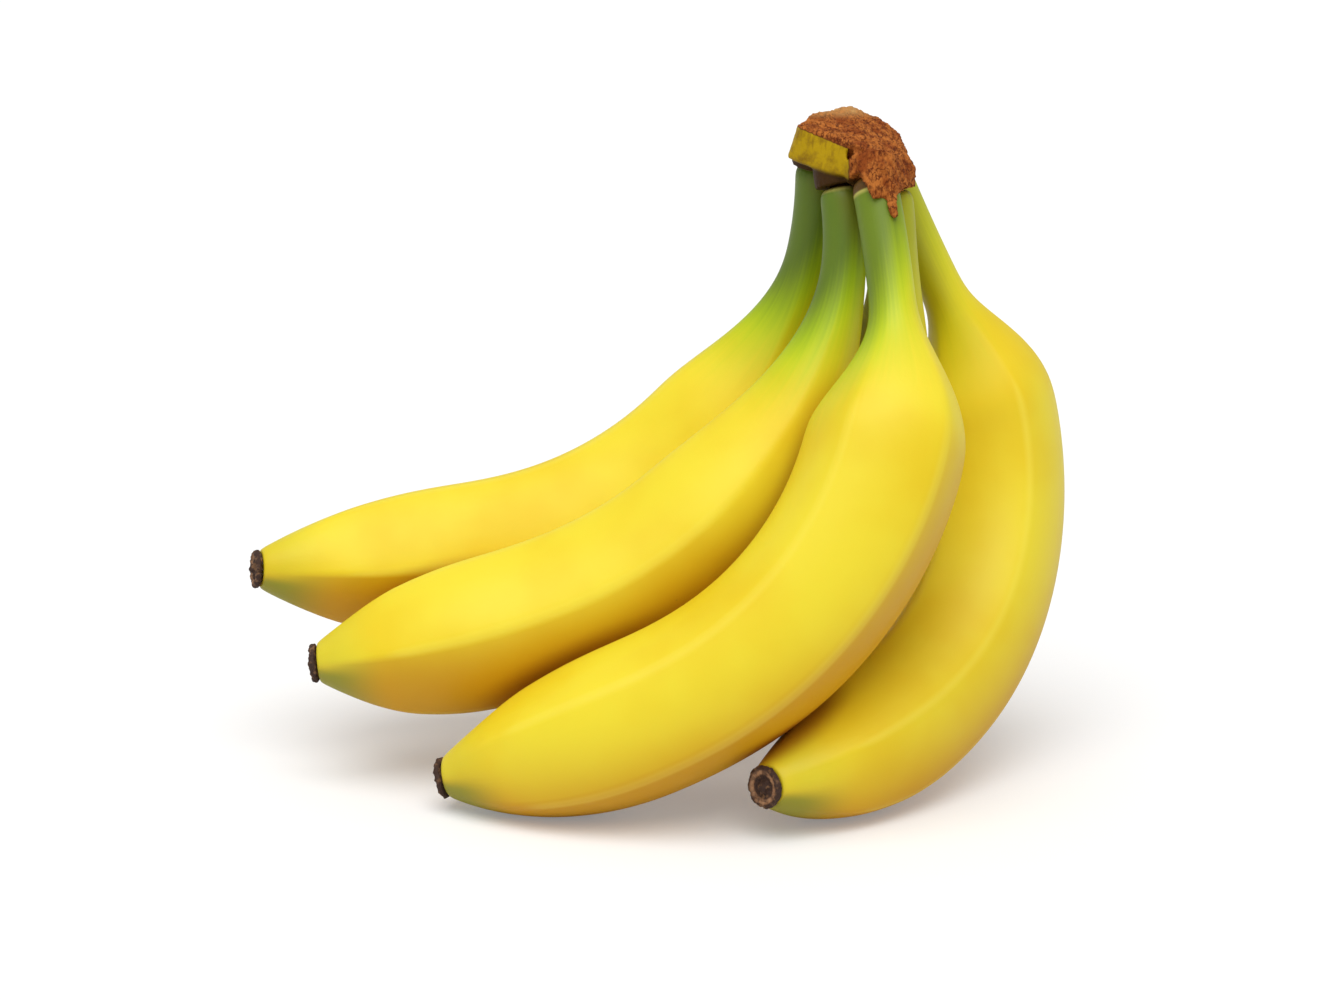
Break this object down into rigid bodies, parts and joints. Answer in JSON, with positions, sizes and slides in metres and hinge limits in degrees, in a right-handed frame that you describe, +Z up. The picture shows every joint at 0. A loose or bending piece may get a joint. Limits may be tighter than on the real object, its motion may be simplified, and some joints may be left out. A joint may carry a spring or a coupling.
{
  "type": "bunch of bananas",
  "caption": "Bunch of ripe bananas joined at one cut crown, lying on its lowest fingers with the crown raised.",
  "frame": {"origin": "on the resting surface, under the middle of the bunch's bounding box", "axes": "+Z up from the resting surface, X along the row of fingers, +Y towards the back of the bunch"},
  "size_m": [0.1904, 0.1438, 0.1495],
  "materials": {
    "banana_skin": "smooth satin ripe banana peel, green at the stems and tips",
    "crown": "green-yellow flesh of the stalk with a dry brown fibrous cut face",
    "blossom_end": "dry dark brown flower scar"
  },
  "bodies": {
    "root": {"crown": "crown", "banana_1": "banana_skin", "banana_2": "banana_skin", "banana_3": "banana_skin", "banana_4": "banana_skin", "banana_5": "banana_skin", "blossom_end_1": "blossom_end", "blossom_end_2": "blossom_end", "blossom_end_3": "blossom_end", "blossom_end_4": "blossom_end", "blossom_end_5": "blossom_end"}
  },
  "joints": []
}
